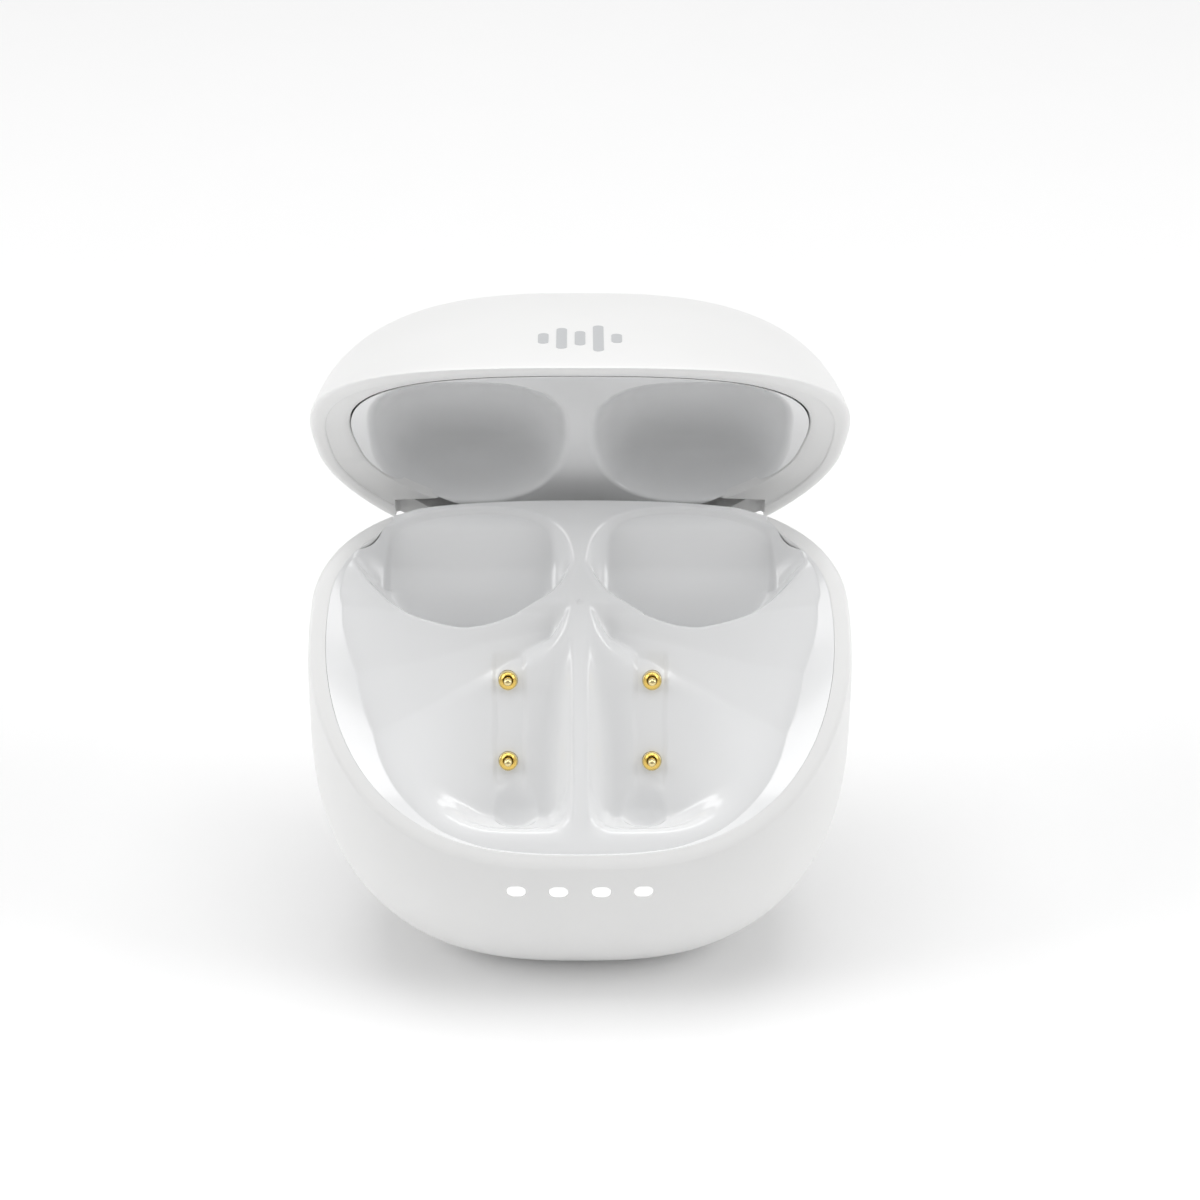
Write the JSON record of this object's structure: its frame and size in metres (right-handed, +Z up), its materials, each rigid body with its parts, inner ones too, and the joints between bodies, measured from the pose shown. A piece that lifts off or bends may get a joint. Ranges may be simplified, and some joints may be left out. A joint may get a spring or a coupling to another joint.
{
  "type": "wireless earbuds case",
  "caption": "Rounded white earbuds charging case with a hinged lid, a liner with seats for stemmed earbuds, sprung charging pins and front lights, lid open.",
  "frame": {"origin": "centre of the flat foot under the base", "axes": "+X across the case from the left seat to the right seat, +Y to the back where the hinge is, +Z up from the foot to the mouth"},
  "size_m": [0.06, 0.0463, 0.0788],
  "materials": {
    "satin_white": "satin",
    "gloss_white": "gloss",
    "gold": "plated",
    "circuit_board": "matte",
    "cell": "satin",
    "foam": "matte",
    "steel": "satin",
    "black_plastic": "matte",
    "light_window": "frosted",
    "grey_print": "satin"
  },
  "bodies": {
    "base": {"base_shell": "satin_white", "base_liner": "gloss_white", "pin_cup_left_upper": "gold", "pin_cup_left_lower": "gold", "pin_cup_right_upper": "gold", "pin_cup_right_lower": "gold", "pin_board_left": "circuit_board", "pin_board_right": "circuit_board", "battery": "cell", "battery_foam": "foam", "main_board": "circuit_board", "usb_c_socket": "steel", "usb_c_tongue": "black_plastic", "light_board": "circuit_board", "light_guide_1": "light_window", "light_guide_2": "light_window", "light_guide_3": "light_window", "light_guide_4": "light_window", "lid_sensor": "black_plastic", "seat_magnet_left": "steel", "seat_magnet_right": "steel", "catch_magnet_left": "steel", "catch_magnet_right": "steel", "hinge_pin": "steel", "hinge_bracket_left": "steel", "hinge_bracket_right": "steel"},
    "lid": {"lid_shell": "satin_white", "lid_liner": "gloss_white", "hinge_block": "satin_white", "lid_magnet_left": "steel", "lid_magnet_right": "steel", "lid_mark": "grey_print"},
    "pin_plunger_left_upper": {"pin_plunger_left_upper": "gold"},
    "pin_plunger_left_lower": {"pin_plunger_left_lower": "gold"},
    "pin_plunger_right_upper": {"pin_plunger_right_upper": "gold"},
    "pin_plunger_right_lower": {"pin_plunger_right_lower": "gold"}
  },
  "joints": [
    {"name": "lid_hinge", "type": "hinge", "parent": "base", "child": "lid", "pos_m": [0, 0.01036, 0.04604], "axis": [1, 0, 0], "range_deg": [0, 101.8]},
    {"name": "pin_slide_left_upper", "type": "slide", "parent": "base", "child": "pin_plunger_left_upper", "axis": [0, 0.8829, -0.4696], "range_m": [0, 0.0006], "stiffness_N_per_m": 500, "springref_m": -0.0003},
    {"name": "pin_slide_left_lower", "type": "slide", "parent": "base", "child": "pin_plunger_left_lower", "axis": [0, 0.8829, -0.4696], "range_m": [0, 0.0006], "stiffness_N_per_m": 500, "springref_m": -0.0003},
    {"name": "pin_slide_right_upper", "type": "slide", "parent": "base", "child": "pin_plunger_right_upper", "axis": [0, 0.8829, -0.4696], "range_m": [0, 0.0006], "stiffness_N_per_m": 500, "springref_m": -0.0003},
    {"name": "pin_slide_right_lower", "type": "slide", "parent": "base", "child": "pin_plunger_right_lower", "axis": [0, 0.8829, -0.4696], "range_m": [0, 0.0006], "stiffness_N_per_m": 500, "springref_m": -0.0003}
  ]
}
